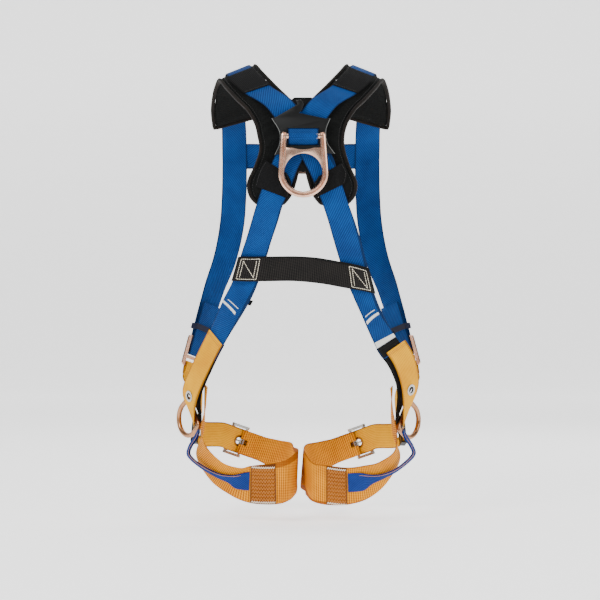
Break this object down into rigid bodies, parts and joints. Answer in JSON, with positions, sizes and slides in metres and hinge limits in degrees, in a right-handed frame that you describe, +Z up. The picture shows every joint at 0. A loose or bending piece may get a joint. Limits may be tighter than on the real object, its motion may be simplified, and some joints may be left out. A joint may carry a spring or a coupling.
{
  "type": "safety harness",
  "caption": "Full-body fall-arrest harness as worn: padded shoulder straps crossing at a dorsal ring, lumbar strap, hip rings, adjusters, buckled chest and leg loops.",
  "frame": {"origin": "the wearer's mid-line, midway from front to back, level with the hem of the leg loops", "axes": "+X to the right as seen from behind the wearer, +Y to the front of the wearer, +Z up"},
  "size_m": [0.4392, 0.2769, 0.7729],
  "materials": {
    "blue_webbing": "woven polyester, diagonal twill",
    "yellow_webbing": "woven polyester, golden yellow",
    "black_webbing": "woven polyester, faint ribs",
    "pad_fabric": "black mesh over foam, bound edge",
    "tan_stitching": "dense zig-zag stitching",
    "link_webbing": "folded blue webbing",
    "black_plastic": "moulded, satin",
    "zinc_steel": "forged steel, rose zinc plating",
    "bronze_steel": "bent steel rod, bronze zinc plating",
    "bright_steel": "plated steel",
    "dark_steel": "black steel bar"
  },
  "bodies": {
    "webbing": {"shoulder_pad_left": "pad_fabric", "shoulder_pad_right": "pad_fabric", "shoulder_sleeve_left": "black_webbing", "shoulder_sleeve_right": "black_webbing", "pad_pocket_left": "black_webbing", "pad_pocket_right": "black_webbing", "dorsal_backing": "black_webbing", "dorsal_plate": "black_plastic", "main_strap_left": "blue_webbing", "main_strap_right": "blue_webbing", "dorsal_loop": "blue_webbing", "lumbar_strap": "black_webbing", "strap_tab_left": "black_webbing", "strap_tab_right": "black_webbing", "hip_strap_left": "yellow_webbing", "hip_strap_right": "yellow_webbing", "hip_backing_left": "black_webbing", "hip_backing_right": "black_webbing", "eyelets_left": "bright_steel", "eyelets_right": "bright_steel", "hip_link_left": "yellow_webbing", "hip_link_right": "yellow_webbing", "adjuster_frame_left": "zinc_steel", "adjuster_frame_right": "zinc_steel", "leg_loop_left": "yellow_webbing", "leg_loop_right": "yellow_webbing", "seat_patch_left": "tan_stitching", "seat_patch_right": "tan_stitching", "seat_link_left": "link_webbing", "seat_link_right": "link_webbing", "leg_buckle_frame_left": "bright_steel", "leg_buckle_frame_right": "bright_steel", "chest_strap_left": "blue_webbing", "chest_strap_right": "blue_webbing", "chest_frame": "zinc_steel"},
    "dorsal_ring": {"dorsal_ring": "zinc_steel"},
    "hip_ring_left": {"hip_ring_left": "bronze_steel"},
    "hip_ring_right": {"hip_ring_right": "bronze_steel"},
    "hip_keeper_left": {"hip_keeper_left": "black_plastic"},
    "hip_keeper_right": {"hip_keeper_right": "black_plastic"},
    "adjuster_bar_left": {"adjuster_bar_left": "dark_steel"},
    "adjuster_bar_right": {"adjuster_bar_right": "dark_steel"},
    "tail_keeper_left": {"tail_keeper_left": "black_plastic"},
    "tail_keeper_right": {"tail_keeper_right": "black_plastic"},
    "leg_buckle_tongue_left": {"leg_buckle_tongue_left": "bright_steel"},
    "leg_buckle_tongue_right": {"leg_buckle_tongue_right": "bright_steel"},
    "leg_buckle_roller_left": {"leg_buckle_roller_left": "bright_steel"},
    "leg_buckle_roller_right": {"leg_buckle_roller_right": "bright_steel"},
    "chest_plate": {"chest_plate": "zinc_steel"},
    "chest_keeper": {"chest_keeper": "black_plastic"}
  },
  "joints": [
    {"name": "dorsal_ring_swing", "type": "hinge", "parent": "webbing", "child": "dorsal_ring", "pos_m": [0.004, -0.1286, 0.636], "axis": [-1, 0, 0], "range_deg": [0, 170]},
    {"name": "hip_ring_left_swing", "type": "hinge", "parent": "webbing", "child": "hip_ring_left", "pos_m": [-0.1901, 0.01164, 0.15586], "axis": [-0.3447, 0.4596, 0.8185], "range_deg": [0, 66]},
    {"name": "hip_ring_right_swing", "type": "hinge", "parent": "webbing", "child": "hip_ring_right", "pos_m": [0.1821, 0.01164, 0.15286], "axis": [-0.3447, -0.4596, -0.8185], "range_deg": [0, 66]},
    {"name": "leg_tongue_left_lift", "type": "hinge", "parent": "webbing", "child": "leg_buckle_tongue_left", "pos_m": [-0.10603, 0.11447, 0.09558], "axis": [-0.3335, -0.0681, -0.9403], "range_deg": [0, 14]},
    {"name": "leg_tongue_right_lift", "type": "hinge", "parent": "webbing", "child": "leg_buckle_tongue_right", "pos_m": [0.09803, 0.11447, 0.09258], "axis": [-0.3335, 0.0681, 0.9403], "range_deg": [0, 14]},
    {"name": "leg_roller_left_spin", "type": "hinge", "parent": "webbing", "child": "leg_buckle_roller_left", "pos_m": [-0.12997, 0.10953, 0.10442], "axis": [-0.3335, -0.0681, -0.9403], "continuous": true},
    {"name": "leg_roller_right_spin", "type": "hinge", "parent": "webbing", "child": "leg_buckle_roller_right", "pos_m": [0.12197, 0.10953, 0.10142], "axis": [-0.3335, 0.0681, 0.9403], "continuous": true},
    {"name": "adjuster_bar_left_slide", "type": "slide", "parent": "webbing", "child": "adjuster_bar_left", "axis": [0.2512, 0.1608, 0.9545], "range_m": [0, 0.006]},
    {"name": "adjuster_bar_right_slide", "type": "slide", "parent": "webbing", "child": "adjuster_bar_right", "axis": [-0.2512, 0.1608, 0.9545], "range_m": [0, 0.006]},
    {"name": "tail_keeper_left_slide", "type": "slide", "parent": "webbing", "child": "tail_keeper_left", "axis": [0.2512, 0.1608, 0.9545], "range_m": [-0.01, 0.01]},
    {"name": "tail_keeper_right_slide", "type": "slide", "parent": "webbing", "child": "tail_keeper_right", "axis": [-0.2512, 0.1608, 0.9545], "range_m": [-0.01, 0.01]},
    {"name": "hip_keeper_left_slide", "type": "slide", "parent": "webbing", "child": "hip_keeper_left", "axis": [0.2319, 0.8603, -0.454], "range_m": [-0.002, 0.002]},
    {"name": "hip_keeper_right_slide", "type": "slide", "parent": "webbing", "child": "hip_keeper_right", "axis": [-0.2319, 0.8603, -0.454], "range_m": [-0.002, 0.002]},
    {"name": "chest_plate_open", "type": "hinge", "parent": "webbing", "child": "chest_plate", "pos_m": [0.031, 0.1365, 0.618], "axis": [0, 0, -1], "range_deg": [0, 100]},
    {"name": "chest_keeper_slide", "type": "slide", "parent": "webbing", "child": "chest_keeper", "axis": [1, 0, 0], "range_m": [-0.008, 0.006]}
  ]
}
